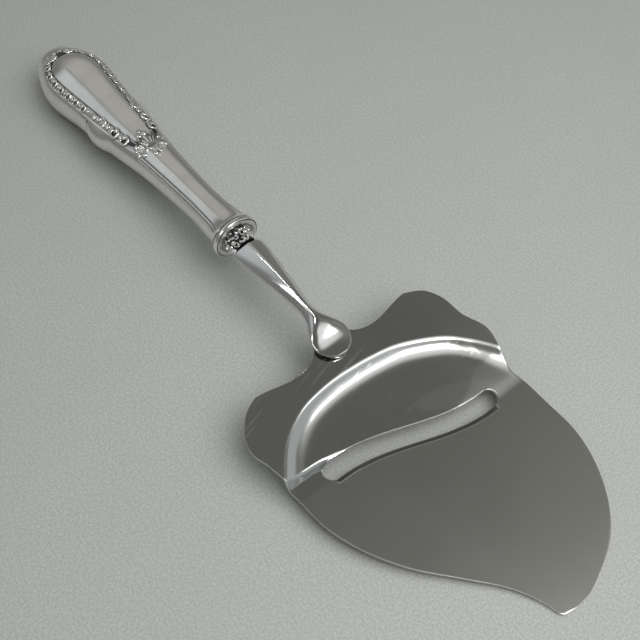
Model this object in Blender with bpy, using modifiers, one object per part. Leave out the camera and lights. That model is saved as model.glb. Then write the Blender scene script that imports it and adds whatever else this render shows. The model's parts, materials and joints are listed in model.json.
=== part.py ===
"""Cheese slicer with a hollow silver handle, a forged shank and a pressed stainless blade.

The slicer lies as on a table: +X runs from the handle to the blade's tip, +Z is up and z = 0 is the table.
Two stamped handle halves close on a cement core. A rolled ring and an end plate finish the handle, a fluted
collar covers the neck, and the shank ends in a round paddle that is welded flat on the blade.
Sizes are millimetres; the scene is built in metres.
"""
import math

import bmesh
import bpy

MM = 0.001
GAP = 0.3              # clearance between neighbouring pieces

# handle, measured along its own axis from the rounded end
HANDLE_LENGTH = 96.5
HANDLE_PITCH = 4.4     # degrees that the axis climbs toward the blade
BULB_WIDTH = 21.4
BULB_DEPTH = 15.9
WAIST_WIDTH = 17.3
WAIST_DEPTH = 12.4
NECK_WIDTH = 10.4
NECK_DEPTH = 9.1
MOUTH_WIDTH = 13.4
MOUTH_DEPTH = 11.8
END_DOME = 1.3
END_OPENING = 0.35     # half width left where the halves close at the very end
SHELL_WALL = 0.6
SECTION_POWER = 2.25   # 2 is an ellipse, more is squarer

# ferrule ring, end plate and collar
RING_WIRE = 2.0
RING_WIDTH = 14.2
RING_DEPTH = 12.6
PLATE_THICKNESS = 1.1
COLLAR_LENGTH = 4.2
COLLAR_DIAMETER = 9.2
COLLAR_WAIST = 7.4
COLLAR_LOBES = 10
LOBE_DEPTH = 0.45

# shank
SHOULDER_WIDTH = 9.2
SHOULDER_RISE = 2.4
SHOULDER_DROP = 1.7
SHANK_WAIST = 4.4
SHANK_REACH = 35.6     # shoulder to paddle centre
TANG_LENGTH = 42.0
TANG_WIDTH = 4.6
TANG_THICKNESS = 2.8
PADDLE_DIAMETER = 10.9
PADDLE_THICKNESS = 1.9
PADDLE_EDGE = 0.45

# blade
BLADE_LENGTH = 87.1    # ears to tip
BLADE_HALF_WIDTH = 36.3
BLADE_THICKNESS = 1.0
WELD = 0.06            # slivers this narrow, left where the slot is cut, are closed
PADDLE_INSET = 0.5     # paddle centre behind the ears' rear edge
TIP_ROUND = 0.8        # bulge of the tip's short end
TONGUE_PITCH = 4.2     # degrees
REAR_PITCH = 6.7       # degrees
TONGUE_DROP = 2.8      # how far the tongue lies under the plane of the ears
ARCH_AHEAD = 8.0       # pressed arch in front of the paddle centre
ARCH_SAG = 11.2        # how far the arch bows forward at its feet
ARCH_HALF_SPAN = 30.5
ARCH_DEPTH = 1.8
ARCH_RUN = 4.2
REAR_VALLEY = 1.9
REAR_TAB = 5.2
TAB_HALF_WIDTH = 5.1
SLOT_WIDTH = 4.7
SLOT_LEFT = 23.6       # slot ends, measured from the axis
SLOT_RIGHT = 26.4

# the blade's two edges from ear to tip, as shares of its length and half width
LEFT_EDGE = [(0.007, 0.703), (0.031, 0.819), (0.083, 0.923), (0.137, 0.959), (0.189, 0.925),
             (0.242, 0.900), (0.271, 0.899), (0.324, 0.886), (0.418, 0.861), (0.529, 0.766),
             (0.641, 0.605), (0.746, 0.386), (0.840, 0.191), (0.917, 0.084), (0.981, 0.017)]
RIGHT_EDGE = [(0.000, 0.690), (0.028, 0.822), (0.083, 0.901), (0.160, 0.928), (0.237, 1.000),
              (0.310, 0.971), (0.379, 0.937), (0.433, 0.963), (0.523, 0.973), (0.635, 0.979),
              (0.746, 0.912), (0.852, 0.768), (0.932, 0.565), (0.986, 0.288), (0.993, 0.073)]
LIP_KNOT = 6           # the edge points where the slot's two sides run out
CUT_KNOT = 7
KNOTS = len(LEFT_EDGE) - 1


def smooth(low, high, value):
    """Ease from 0 at low to 1 at high."""
    t = min(1.0, max(0.0, (value - low) / (high - low)))
    return t * t * (3 - 2 * t)


def spline(points, t):
    """A point on the Catmull-Rom curve through points, with knot i at t = i."""
    last = len(points) - 1
    i = min(int(t), last - 1)
    f = t - i
    a, b = points[max(i - 1, 0)], points[i]
    c, d = points[i + 1], points[min(i + 2, last)]
    return [0.5 * (2 * q + (r - p) * f + (2 * p - 5 * q + 4 * r - s) * f ** 2
                   + (3 * q - p - 3 * r + s) * f ** 3) for p, q, r, s in zip(a, b, c, d)]


# handle frame: the bulb's underside touches the table
PITCH = math.radians(HANDLE_PITCH)
HANDLE_FORM = [  # along the axis, half width, half depth
    (0.00, BULB_WIDTH * 0.19, BULB_DEPTH * 0.22),
    (0.03 * HANDLE_LENGTH, BULB_WIDTH * 0.33, BULB_DEPTH * 0.36),
    (0.15 * HANDLE_LENGTH, BULB_WIDTH / 2, BULB_DEPTH / 2),
    (0.30 * HANDLE_LENGTH, BULB_WIDTH * 0.44, BULB_DEPTH * 0.44),
    (0.40 * HANDLE_LENGTH, WAIST_WIDTH / 2, WAIST_DEPTH / 2),
    (0.49 * HANDLE_LENGTH, WAIST_WIDTH * 0.465, WAIST_DEPTH * 0.475),
    (0.63 * HANDLE_LENGTH, NECK_WIDTH * 0.605, NECK_DEPTH * 0.57),
    (0.83 * HANDLE_LENGTH, NECK_WIDTH / 2, NECK_DEPTH / 2),
    (0.93 * HANDLE_LENGTH, NECK_WIDTH * 0.53, NECK_DEPTH * 0.525),
    (1.00 * HANDLE_LENGTH, MOUTH_WIDTH / 2, MOUTH_DEPTH / 2)]
HANDLE_STEPS = 27
HALF_POINTS = 14       # an even count leaves a narrow flat along the crest, on which the handle lies
HANDLE_STATIONS = [spline(HANDLE_FORM, (len(HANDLE_FORM) - 1) * i / HANDLE_STEPS)
                   for i in range(HANDLE_STEPS + 1)]
CREST = math.cos(math.pi / 2 / (HALF_POINTS - 1)) ** (2 / SECTION_POWER)  # the flat's share of the depth
HANDLE_LIFT = max((depth * CREST + GAP / 2) * math.cos(PITCH) - along * math.sin(PITCH)
                  for along, _, depth in HANDLE_STATIONS)


def on_axis(along):
    """World x and z of a point of the handle's axis."""
    return along * math.cos(PITCH), HANDLE_LIFT + along * math.sin(PITCH)


RING_CENTRE = HANDLE_LENGTH + GAP + RING_WIRE / 2
PLATE_START = HANDLE_LENGTH + GAP
COLLAR_START = PLATE_START + PLATE_THICKNESS + GAP
SHOULDER = COLLAR_START + COLLAR_LENGTH + GAP
SHOULDER_X, SHOULDER_Z = on_axis(SHOULDER)
PADDLE_X = SHOULDER_X + SHANK_REACH
BLADE_X = PADDLE_X + PADDLE_INSET
TIP_X = BLADE_X + BLADE_LENGTH
LEFT_REACH = max(share for _, share in LEFT_EDGE) * BLADE_HALF_WIDTH
RIGHT_REACH = max(share for _, share in RIGHT_EDGE) * BLADE_HALF_WIDTH
FRAME_X = (TIP_X - END_DOME) / 2
FRAME_Y = (RIGHT_REACH - LEFT_REACH) / 2


def edges_at(knot):
    """The blade's left and right edge points on the row at this knot."""
    lx, ly = spline(LEFT_EDGE, knot)
    rx, ry = spline(RIGHT_EDGE, knot)
    left = BLADE_X + lx * BLADE_LENGTH, -ly * BLADE_HALF_WIDTH
    right = BLADE_X + rx * BLADE_LENGTH, ry * BLADE_HALF_WIDTH
    return left, right


def blade_point(knot, across):
    """A point of the sheet's middle surface: knot runs ears to tip, across 0 to 1 from left to right."""
    left, right = edges_at(knot)
    y = left[1] + (right[1] - left[1]) * across
    wave = 0.5 + 0.5 * math.sin(math.pi / 2 * min(1.0, max(-1.0, (across - 0.5) / 0.32)))
    x = left[0] + (right[0] - left[0]) * wave
    ear = abs(left[1]) if y < 0 else right[1]
    valley = REAR_VALLEY * (1 - math.cos(2 * math.pi * abs(y) / ear)) / 2
    tab = REAR_TAB * math.exp(-(y / TAB_HALF_WIDTH) ** 2)
    x += (valley - tab) * max(0.0, 1 - knot / 3) ** 2
    x += TIP_ROUND * 4 * across * (1 - across) * max(0.0, knot - KNOTS + 1) ** 2
    return x, y, blade_height(knot, x, y)


def blade_height(knot, x, y):
    """Height of the sheet's middle: the ears' plane, the tongue's plane under it and the pressed arch."""
    bend_left, bend_right = edges_at(CUT_KNOT)
    bend_x = (bend_left[0] + bend_right[0]) / 2
    tongue_slope = math.tan(math.radians(TONGUE_PITCH))
    tongue = BLADE_THICKNESS / 2 + (TIP_X - x) * tongue_slope
    at_bend = BLADE_THICKNESS / 2 + (TIP_X - bend_x) * tongue_slope + TONGUE_DROP
    ears = at_bend + (bend_x - x) * math.tan(math.radians(REAR_PITCH))
    down = smooth(LIP_KNOT - 0.4, CUT_KNOT + 0.3, knot)
    arch_x = PADDLE_X + ARCH_AHEAD + ARCH_SAG * (y / ARCH_HALF_SPAN) ** 2
    pressed = smooth(arch_x, arch_x + ARCH_RUN, x) * (1 - smooth(0.74, 1.02, abs(y) / ARCH_HALF_SPAN))
    return ears + (tongue - ears) * down - ARCH_DEPTH * pressed * (1 - down)


PADDLE_TILT = math.radians(REAR_PITCH)
PADDLE_Z = blade_height(0, PADDLE_X, 0) + (BLADE_THICKNESS / 2 + GAP + PADDLE_THICKNESS / 2) / math.cos(PADDLE_TILT)

for old in list(bpy.data.objects):
    bpy.data.objects.remove(old, do_unlink=True)
parts = bpy.data.collections.new("cheese_slicer")
tools = bpy.data.collections.new("cheese_slicer_cutters")
bpy.context.scene.collection.children.link(parts)
bpy.context.scene.collection.children.link(tools)
root = bpy.data.objects.new("slicer_frame", None)
root.location = (-FRAME_X * MM, -FRAME_Y * MM, 0)
parts.objects.link(root)


def metal(name, colour, roughness, metallic=1.0):
    """A Principled material."""
    mat = bpy.data.materials.new(name)
    mat.use_nodes = True
    shader = mat.node_tree.nodes["Principled BSDF"]
    shader.inputs["Base Color"].default_value = (*colour, 1)
    shader.inputs["Roughness"].default_value = roughness
    shader.inputs["Metallic"].default_value = metallic
    return mat


def add(name, bm, mat, collection=parts, smooth_angle=35):
    """Turn a bmesh in millimetres into a named object under the slicer's frame."""
    bmesh.ops.scale(bm, vec=(MM, MM, MM), verts=bm.verts)
    if all(edge.is_manifold for edge in bm.edges):
        bmesh.ops.recalc_face_normals(bm, faces=bm.faces)
    mesh = bpy.data.meshes.new(name)
    bm.to_mesh(mesh)
    bm.free()
    mesh.shade_smooth()
    mesh.set_sharp_from_angle(angle=math.radians(smooth_angle))
    mesh.materials.append(mat)
    obj = bpy.data.objects.new(name, mesh)
    collection.objects.link(obj)
    obj.parent = root
    if collection is tools:
        obj.hide_render = True
        obj.display_type = 'WIRE'
    return obj


def lay_on_axis(obj):
    """Tilt a piece that was drawn along X onto the handle's climbing axis."""
    obj.rotation_euler = (0, -PITCH, 0)
    obj.location = (0, 0, HANDLE_LIFT * MM)


def boolean(obj, cutter, operation):
    """Cut obj with cutter, or fuse the two."""
    mod = obj.modifiers.new(operation.lower(), 'BOOLEAN')
    mod.operation = operation
    mod.solver = 'EXACT'
    mod.object = cutter


def loft(rings, closed=True, caps=True):
    """Skin a row of rings of points with quads; caps close the first and the last ring."""
    bm = bmesh.new()
    rows = [[bm.verts.new(point) for point in ring] for ring in rings]
    count = len(rings[0])
    for one, two in zip(rows, rows[1:]):
        for i in range(count if closed else count - 1):
            j = (i + 1) % count
            bm.faces.new((one[i], one[j], two[j], two[i]))
    if caps:
        bm.faces.new(rows[0])
        bm.faces.new(rows[-1])
    return bm


def oval(along, half_width, half_depth, start, end, count, power=SECTION_POWER):
    """Points of a squarish oval across the axis, from angle start to end."""
    ring = []
    for i in range(count):
        angle = start + (end - start) * i / (count - 1)
        c, s = math.cos(angle), math.sin(angle)
        ring.append((along, half_width * math.copysign(abs(c) ** (2 / power), c),
                     half_depth * math.copysign(abs(s) ** (2 / power), s)))
    return ring


def box(name, x0, x1, width, depth):
    """A box along X, centred on the axis."""
    bm = bmesh.new()
    bmesh.ops.create_cube(bm, size=1)
    bmesh.ops.scale(bm, vec=(x1 - x0, width, depth), verts=bm.verts)
    bmesh.ops.translate(bm, vec=((x0 + x1) / 2, 0, 0), verts=bm.verts)
    return add(name, bm, SHANK_STEEL, tools)


SILVER = metal("handle_silver", (0.80, 0.79, 0.77), 0.20)
SILVER_BACK = metal("handle_silver_back", (0.77, 0.76, 0.74), 0.24)
RING_SILVER = metal("ring_silver", (0.82, 0.81, 0.79), 0.16)
PLATE_SILVER = metal("plate_silver", (0.66, 0.65, 0.63), 0.22)
COLLAR_STEEL = metal("collar_steel", (0.72, 0.72, 0.71), 0.12)
SHANK_STEEL = metal("shank_steel", (0.66, 0.66, 0.65), 0.14)
BLADE_STEEL = metal("blade_steel", (0.60, 0.60, 0.59), 0.18)
CEMENT = metal("core_cement", (0.34, 0.27, 0.20), 0.85, 0.0)


# handle halves: open half tubes with a wall that grows inward, parted by the seam
def handle_half(name, side, mat):
    """One stamped half of the handle; side is 1 for the front and -1 for the back."""
    rings = []
    for along, width, depth in [(-END_DOME, END_OPENING, END_OPENING), *HANDLE_STATIONS]:
        ring = oval(along, width, depth, 0, math.pi, HALF_POINTS)
        rings.append([(x, side * y, side * (z + GAP / 2)) for x, y, z in ring])
    half = add(name, loft(rings, closed=False, caps=False), mat)
    wall = half.modifiers.new("wall", 'SOLIDIFY')
    wall.thickness = SHELL_WALL * MM
    wall.offset = -1
    lay_on_axis(half)
    return half


handle_half("handle_front", 1, SILVER)
handle_half("handle_back", -1, SILVER_BACK)

# cement core that fills the two halves and holds the tang
inset = SHELL_WALL + GAP
core_rings = [oval(along, width - inset, depth - inset, 0, 2 * math.pi * 15 / 16, 16)
              for along, width, depth in HANDLE_STATIONS[3::2]]
core = add("handle_core", loft(core_rings), CEMENT)
lay_on_axis(core)
tang_start = SHOULDER - TANG_LENGTH
bore = box("tang_bore", tang_start - GAP, SHOULDER, TANG_WIDTH + 2 * GAP, TANG_THICKNESS + 2 * GAP)
lay_on_axis(bore)
boolean(core, bore, 'DIFFERENCE')

# rolled ring round the handle's mouth
ring_turns = 36
wire_turns = 8
rings = []
for i in range(ring_turns):
    turn = 2 * math.pi * i / ring_turns
    ring = []
    for j in range(wire_turns):
        roll = 2 * math.pi * j / wire_turns
        out = RING_WIRE / 2 * (math.cos(roll) - 1)
        ring.append((RING_CENTRE + RING_WIRE / 2 * math.sin(roll),
                     (RING_WIDTH / 2 + out) * math.cos(turn), (RING_DEPTH / 2 + out) * math.sin(turn)))
    rings.append(ring)
bm = loft([*rings, rings[0]], caps=False)
bmesh.ops.remove_doubles(bm, verts=bm.verts, dist=0.001)
lay_on_axis(add("ferrule_ring", bm, RING_SILVER))

# end plate inside the ring, pierced for the tang
bm = bmesh.new()
bmesh.ops.create_cone(bm, cap_ends=True, segments=40, radius1=1, radius2=1, depth=PLATE_THICKNESS)
for vert in bm.verts:
    x, y, z = vert.co
    vert.co = (PLATE_START + PLATE_THICKNESS / 2 + z, y * (RING_WIDTH / 2 - RING_WIRE - GAP),
               x * (RING_DEPTH / 2 - RING_WIRE - GAP))
plate = add("end_plate", bm, PLATE_SILVER)
lay_on_axis(plate)
plate_edge = plate.modifiers.new("edge", 'BEVEL')
plate_edge.width = PLATE_THICKNESS * 0.25 * MM
plate_edge.segments = 2
boolean(plate, bore, 'DIFFERENCE')

# fluted collar over the neck
collar_rings = []
for share, size in ((0.0, COLLAR_DIAMETER * 0.92), (0.12, COLLAR_DIAMETER), (0.35, COLLAR_DIAMETER * 0.97),
                    (0.62, COLLAR_WAIST * 1.04), (0.85, COLLAR_WAIST), (1.0, COLLAR_WAIST * 0.96)):
    ring = []
    for i in range(COLLAR_LOBES * 4):
        turn = 2 * math.pi * i / (COLLAR_LOBES * 4)
        radius = size / 2 - LOBE_DEPTH * (0.5 - 0.5 * math.cos(COLLAR_LOBES * turn))
        ring.append((COLLAR_START + share * COLLAR_LENGTH, radius * math.cos(turn), radius * math.sin(turn)))
    collar_rings.append(ring)
collar = add("neck_collar", loft(collar_rings), COLLAR_STEEL, smooth_angle=50)
lay_on_axis(collar)
boolean(collar, bore, 'DIFFERENCE')

# shank: a ridged bar that narrows from the shoulder and bends down onto the paddle
lead = SHANK_REACH * 0.42
start_point = (SHOULDER_X, SHOULDER_Z)
end_point = (PADDLE_X, PADDLE_Z)
leave = (SHOULDER_X + lead * math.cos(PITCH), SHOULDER_Z + lead * math.sin(PITCH))
arrive = (PADDLE_X - lead * math.cos(PADDLE_TILT), PADDLE_Z + lead * math.sin(PADDLE_TILT))
BAR_FORM = [  # half width, rise over the path, drop under it
    (SHOULDER_WIDTH * 0.50, SHOULDER_RISE, SHOULDER_DROP),
    (SHOULDER_WIDTH * 0.46, SHOULDER_RISE, SHOULDER_DROP),
    (SHOULDER_WIDTH * 0.37, SHOULDER_RISE * 0.96, SHOULDER_DROP * 0.95),
    (SHANK_WAIST * 0.60, SHOULDER_RISE * 0.90, SHOULDER_DROP * 0.88),
    (SHANK_WAIST * 0.50, SHOULDER_RISE * 0.75, SHOULDER_DROP * 0.72),
    (PADDLE_DIAMETER * 0.24, PADDLE_THICKNESS * 0.62, PADDLE_THICKNESS * 0.40),
    (PADDLE_DIAMETER * 0.30, PADDLE_THICKNESS * 0.40, PADDLE_THICKNESS * 0.30)]
bar_rings = []
bar_steps = 18
for i in range(bar_steps + 1):
    t = i / bar_steps
    weights = ((1 - t) ** 3, 3 * t * (1 - t) ** 2, 3 * t * t * (1 - t), t ** 3)
    path = [sum(w * p[k] for w, p in zip(weights, (start_point, leave, arrive, end_point))) for k in (0, 1)]
    half, rise, drop = spline(BAR_FORM, (len(BAR_FORM) - 1) * t)
    section = ((-0.80, -1.0), (0.80, -1.0), (1.0, -0.55), (1.0, 0.15), (0.55, 0.66), (0.12, 1.0),
               (-0.12, 1.0), (-0.55, 0.66), (-1.0, 0.15), (-1.0, -0.55))
    bar_rings.append([(path[0], y * half, path[1] + (z * rise if z > 0 else z * drop)) for y, z in section])
shank = add("shank", loft(bar_rings), SHANK_STEEL, smooth_angle=40)

bm = bmesh.new()
bmesh.ops.create_cone(bm, cap_ends=True, segments=44, radius1=PADDLE_DIAMETER / 2, radius2=PADDLE_DIAMETER / 2,
                      depth=PADDLE_THICKNESS)
paddle = add("paddle_disc", bm, SHANK_STEEL, tools)
paddle.rotation_euler = (0, PADDLE_TILT, 0)
paddle.location = (PADDLE_X * MM, 0, PADDLE_Z * MM)
rim = paddle.modifiers.new("rim", 'BEVEL')
rim.width = PADDLE_EDGE * MM
rim.segments = 2
boolean(shank, paddle, 'UNION')
tang = box("tang", tang_start, SHOULDER + SHOULDER_DROP, TANG_WIDTH, TANG_THICKNESS)
lay_on_axis(tang)
boolean(shank, tang, 'UNION')

# blade: one pressed sheet, its slot cut along the wave of the two middle rows
ROWS_PER_KNOT = [3] * CUT_KNOT + [2] * (KNOTS - CUT_KNOT)
row_knots = [k + i / n for k, n in enumerate(ROWS_PER_KNOT) for i in range(n)] + [KNOTS]
columns = 26
sheet_rows = [[blade_point(knot, i / columns) for i in range(columns + 1)] for knot in row_knots]
blade = add("blade", loft(sheet_rows, closed=False, caps=False), BLADE_STEEL, smooth_angle=40)
sheet = blade.modifiers.new("sheet", 'SOLIDIFY')
sheet.thickness = BLADE_THICKNESS * MM
sheet.offset = 0


def slot_outline(steps=18):
    """The slot's S-shaped outline with round ends, in plan."""
    middle = (LIP_KNOT + CUT_KNOT) / 2
    left, right = edges_at(middle)
    line = []
    for i in range(steps + 1):
        y = -SLOT_LEFT + SLOT_WIDTH / 2 + (SLOT_LEFT + SLOT_RIGHT - SLOT_WIDTH) * i / steps
        x = blade_point(middle, (y - left[1]) / (right[1] - left[1]))[0]
        line.append((x, y))
    side = [(x + SLOT_WIDTH / 2, y) for x, y in line]
    far = [(line[-1][0] + SLOT_WIDTH / 2 * math.cos(a), line[-1][1] + SLOT_WIDTH / 2 * math.sin(a))
           for a in (math.pi * i / 8 for i in range(1, 8))]
    back = [(x - SLOT_WIDTH / 2, y) for x, y in reversed(line)]
    near = [(line[0][0] + SLOT_WIDTH / 2 * math.cos(a), line[0][1] + SLOT_WIDTH / 2 * math.sin(a))
            for a in (math.pi + math.pi * i / 8 for i in range(1, 8))]
    return side + far + back + near


outline = slot_outline()
reach = TONGUE_DROP + ARCH_DEPTH + 4 * BLADE_THICKNESS
slot_z = blade_height(CUT_KNOT, outline[0][0], 0)
slot = add("slot_cutter", loft([[(x, y, slot_z - reach) for x, y in outline],
                                [(x, y, slot_z + reach) for x, y in outline]]), BLADE_STEEL, tools)
boolean(blade, slot, 'DIFFERENCE')
weld = blade.modifiers.new("weld", 'WELD')
weld.merge_threshold = WELD * MM
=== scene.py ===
import json
import math
import random

import bmesh
import bpy
from mathutils import Matrix, Vector
from mathutils.kdtree import KDTree

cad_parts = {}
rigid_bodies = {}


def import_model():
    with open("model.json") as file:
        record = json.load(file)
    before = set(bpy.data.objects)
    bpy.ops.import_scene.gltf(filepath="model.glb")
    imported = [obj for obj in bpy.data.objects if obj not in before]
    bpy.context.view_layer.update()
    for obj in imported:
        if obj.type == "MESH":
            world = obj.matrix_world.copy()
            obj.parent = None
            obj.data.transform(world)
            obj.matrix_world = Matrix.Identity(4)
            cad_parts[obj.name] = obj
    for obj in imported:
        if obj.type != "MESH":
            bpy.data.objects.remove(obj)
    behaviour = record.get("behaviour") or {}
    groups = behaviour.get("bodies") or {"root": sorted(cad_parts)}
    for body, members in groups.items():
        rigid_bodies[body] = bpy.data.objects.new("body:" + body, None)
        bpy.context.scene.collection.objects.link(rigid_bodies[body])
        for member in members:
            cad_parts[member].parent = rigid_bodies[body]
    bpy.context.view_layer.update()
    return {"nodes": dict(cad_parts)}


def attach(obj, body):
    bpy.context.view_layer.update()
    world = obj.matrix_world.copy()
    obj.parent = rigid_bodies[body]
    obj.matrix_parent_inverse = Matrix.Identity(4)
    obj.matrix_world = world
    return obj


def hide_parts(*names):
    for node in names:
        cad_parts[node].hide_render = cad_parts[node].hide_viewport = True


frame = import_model()

# Table and light: a level top of pale, fine-grained stone, on which the slicer lies.
# The room is dim, with soft bright patches and a tall window for the polished metal to mirror.
# Small lamps add glints to the metal, and two broad ones overhead light only the stone.
TABLE_HALF = 5.0
STONE_ROUGHNESS = 0.62
STONE_GRAIN = (0.405, 0.415, 0.402, 1)
STONE_SHADY, STONE_PALE = (0.500, 0.512, 0.497, 1), (0.530, 0.542, 0.527, 1)
PIT_DEPTH, PIT_STRENGTH = 0.0003, 0.18
ROOM_LOW, ROOM_HIGH = (0.20, 0.20, 0.195, 1), (0.118, 0.121, 0.112, 1)
ROOM_PATCHES = (  # direction, how near to it the patch starts and is full, colour
    ((-0.66, 0.38, 0.65), 0.88, 0.985, (0.40, 0.395, 0.375, 1)),
    ((0.70, 0.50, 0.51), 0.84, 0.95, (0.42, 0.45, 0.45, 1)),
    ((0.35, 0.82, 0.45), 0.88, 0.97, (0.43, 0.455, 0.455, 1)),
    ((0.10, 0.60, 0.79), 0.945, 0.985, (0.20, 0.202, 0.19, 1)),
    ((0.40, 0.24, 0.885), 0.925, 0.995, (0.85, 0.85, 0.84, 1)))
WINDOW_SIDE = (-0.12, -0.99, 0.0)  # the direction across the window, from its bar to its far edge
WINDOW_NEAR, WINDOW_FAR = (-0.05, -0.60), (-0.86, -0.76)
WINDOW_FOOT, WINDOW_HEAD = (0.22, 0.42), (0.93, 0.84)
PANE_START, PANE_DIM = (-0.015, 0.02), (0.74, 0.52)
PANE_DULL, PANE_BRIGHT = (0.23, 0.235, 0.23, 1), (0.52, 0.55, 0.56, 1)
BAR_START, BAR_END, BAR_DARK = (-0.055, -0.03), (0.005, -0.015), (0.17, 0.17, 0.165, 1)
WARM_WHITE, WHITE = (1.0, 1.0, 0.99), (1.0, 1.0, 1.0)
LENS_MM, SENSOR_MM = 57.61, 36.0
EYE_PLACE = (0.128917, -0.095954, 0.236849)
EYE_TURN = (33.043, -1.444, 50.687)
EYE_NEAREST = 0.01


class Tone:
    """A shader socket that takes part in Python maths: each operation on it adds a Math node."""

    def __init__(self, tree, socket):
        self.tree = tree
        self.socket = socket

    def make(self, kind, settings=None, sockets=None, out=0):
        """Add any other node: its settings first, then the values or links of its sockets."""
        node = self.tree.nodes.new(kind)
        for name, value in (settings or {}).items():
            setattr(node, name, value)
        for name, value in (sockets or {}).items():
            if isinstance(value, Tone):
                self.tree.links.new(value.socket, node.inputs[name])
            else:
                node.inputs[name].default_value = value
        return Tone(self.tree, node.outputs[out])

    def math(self, operation, first, second):
        return self.make("ShaderNodeMath", {"operation": operation}, {0: first, 1: second})

    def __add__(self, other):
        return self.math('ADD', self, other)

    def __radd__(self, other):
        return self.math('ADD', other, self)

    def __sub__(self, other):
        return self.math('SUBTRACT', self, other)

    def __rsub__(self, other):
        return self.math('SUBTRACT', other, self)

    def __mul__(self, other):
        return self.math('MULTIPLY', self, other)

    def __rmul__(self, other):
        return self.math('MULTIPLY', other, self)

    def ease(self, low, high):
        """This value run smoothly from 0 at low to 1 at high."""
        return self.make("ShaderNodeMapRange", {"interpolation_type": 'SMOOTHSTEP'},
                         {"Value": self, "From Min": low, "From Max": high})

    def blend(self, first, second):
        """The colour first where this value is 0, and second where it is 1."""
        return self.make("ShaderNodeMix", {"data_type": 'RGBA'}, {0: self, 6: first, 7: second}, out=2)

    def noise(self, scale, detail=2.0, roughness=0.5, stretch=None, turn=(0, 0, 0)):
        """Noise over these coordinates, drawn out along turned axes by stretch."""
        place = self
        if stretch:
            place = self.make("ShaderNodeMapping", {"vector_type": 'TEXTURE'},
                              {"Vector": self, "Rotation": turn, "Scale": stretch})
        return place.make("ShaderNodeTexNoise", {"noise_dimensions": '3D'},
                          {"Vector": place, "Scale": scale, "Detail": detail, "Roughness": roughness})

    def attribute(self, name):
        """A number that the mesh carries at each of its points."""
        return self.make("ShaderNodeAttribute", {"attribute_name": name}, out=2)

    def bump(self, distance, strength):
        return self.make("ShaderNodeBump", {}, {"Height": self, "Distance": distance, "Strength": strength})


def finish(name, metallic, roughness):
    """A new Principled material with its shader's inputs and Object coordinates to work on."""
    mat = bpy.data.materials.new(name)
    mat.use_nodes = True
    tree = mat.node_tree
    shader = tree.nodes["Principled BSDF"].inputs
    shader["Metallic"].default_value = metallic
    shader["Roughness"].default_value = roughness
    spot = Tone(tree, tree.nodes.new("ShaderNodeTexCoord").outputs["Object"])
    return mat, shader, spot


def feed(shader, **tones):
    """Link tones to a shader's inputs, named with _ for spaces."""
    for name, tone in tones.items():
        tone.tree.links.new(tone.socket, shader[name.replace("_", " ")])


def as_mesh(bm, name, crease=None):
    """The finished mesh of bm, smooth but for edges that turn by more than crease degrees."""
    mesh = bpy.data.meshes.new(name)
    bm.to_mesh(mesh)
    bm.free()
    mesh.shade_smooth()
    if crease:
        mesh.set_sharp_from_angle(angle=math.radians(crease))
    return mesh


bm = bmesh.new()
for x, y in ((-1, -1), (1, -1), (1, 1), (-1, 1)):
    bm.verts.new((x * TABLE_HALF, y * TABLE_HALF, 0))
bm.faces.new(bm.verts)
table = bpy.data.objects.new("table_top", as_mesh(bm, "table_top"))
bpy.context.collection.objects.link(table)
stone, shader, spot = finish("pale_stone", 0.0, STONE_ROUGHNESS)
cloud = spot.noise(14, detail=4, roughness=0.55).ease(0.3, 0.7)
grain = spot.noise(1700, detail=3, roughness=0.75).ease(0.38, 0.62)
feed(shader, Base_Color=grain.blend(STONE_GRAIN, cloud.blend(STONE_SHADY, STONE_PALE)),
     Normal=spot.noise(700, detail=3, roughness=0.6).bump(PIT_DEPTH, PIT_STRENGTH))
table.data.materials.append(stone)

room = bpy.data.worlds.new("studio")
room.use_nodes = True
bpy.context.scene.world = room
tree = room.node_tree
sky = Tone(tree, tree.nodes.new("ShaderNodeTexCoord").outputs["Generated"])
ahead, height = [sky.make("ShaderNodeSeparateXYZ", {}, {0: sky}, out=axis) for axis in (0, 2)]


def facing(direction):
    """How near a direction the room is looked at: 1 straight along it."""
    return sky.make("ShaderNodeVectorMath", {"operation": 'DOT_PRODUCT'}, {0: sky, 1: direction}, out=1)


around = height.ease(0.0, 0.9).blend(ROOM_LOW, ROOM_HIGH)
for direction, start, full, colour in ROOM_PATCHES:
    around = facing(direction).ease(start, full).blend(around, colour)
beside = facing(WINDOW_SIDE)
tall = ahead.ease(*WINDOW_NEAR) * ahead.ease(*WINDOW_FAR)
tall = tall * height.ease(*WINDOW_FOOT) * height.ease(*WINDOW_HEAD)
pane = beside.ease(*PANE_DIM).blend(PANE_DULL, PANE_BRIGHT)
around = (tall * beside.ease(*PANE_START)).blend(around, pane)
around = (tall * beside.ease(*BAR_START) * beside.ease(*BAR_END)).blend(around, BAR_DARK)
tree.links.new(around.socket, tree.nodes["Background"].inputs["Color"])


def lamp(name, colour, watts, direction, distance, width, length):
    """A soft rectangular lamp that faces the slicer from a direction."""
    light = bpy.data.lights.new(name, 'AREA')
    light.shape = 'RECTANGLE'
    light.size = width
    light.size_y = length
    light.energy = watts
    light.color = colour
    holder = bpy.data.objects.new(name, light)
    aim = Vector(direction).normalized()
    holder.location = aim * distance
    holder.rotation_euler = aim.to_track_quat('Z', 'Y').to_euler()
    bpy.context.collection.objects.link(holder)
    return holder


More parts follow.
